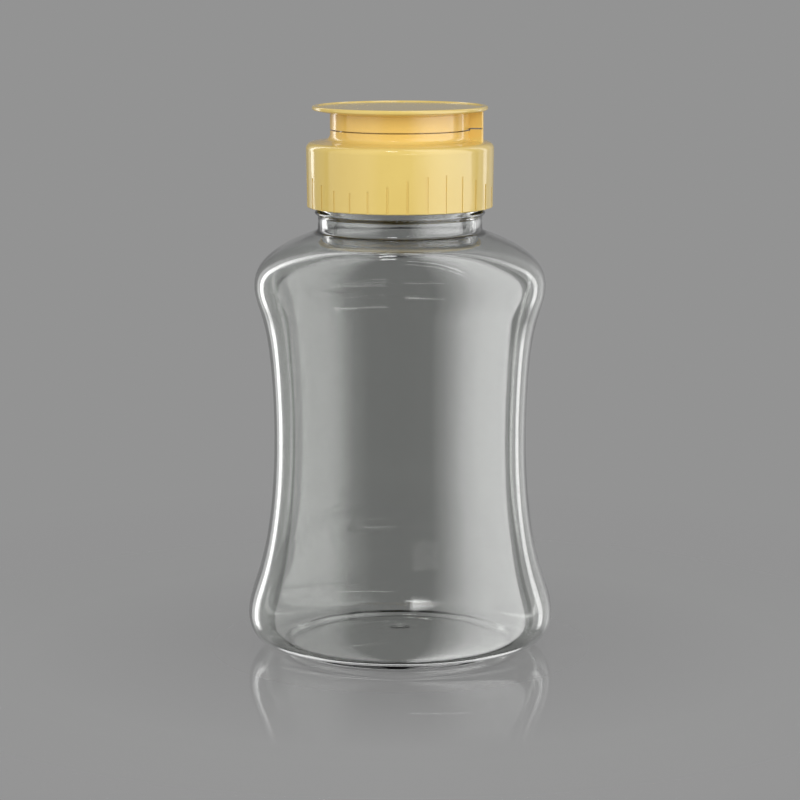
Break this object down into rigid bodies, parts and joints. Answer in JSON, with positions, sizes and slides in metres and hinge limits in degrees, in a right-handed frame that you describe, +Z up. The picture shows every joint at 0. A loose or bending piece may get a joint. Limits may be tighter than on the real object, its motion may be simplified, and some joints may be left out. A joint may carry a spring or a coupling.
{
  "type": "squeeze bottle",
  "caption": "Clear waisted squeeze bottle, empty, with a rounded oval body and a pale yellow flip-top screw cap hinged at one side.",
  "frame": {"origin": "centre of the contact ring, on the plane the bottle stands on", "axes": "+Z up through the neck, +X towards the cap's hinge, -Y out of the wide front"},
  "size_m": [0.0726, 0.0618, 0.1291],
  "materials": {
    "clear_plastic": "clear gloss",
    "yellow_plastic": "gloss"
  },
  "bodies": {
    "bottle": {"bottle": "clear_plastic", "cap": "yellow_plastic", "living_hinge": "yellow_plastic"},
    "lid": {"lid": "yellow_plastic"}
  },
  "joints": [
    {"name": "lid_hinge", "type": "hinge", "parent": "bottle", "child": "lid", "pos_m": [0.0194, 0, 0.12395], "axis": [0, 1, 0], "range_deg": [0, 125]}
  ]
}
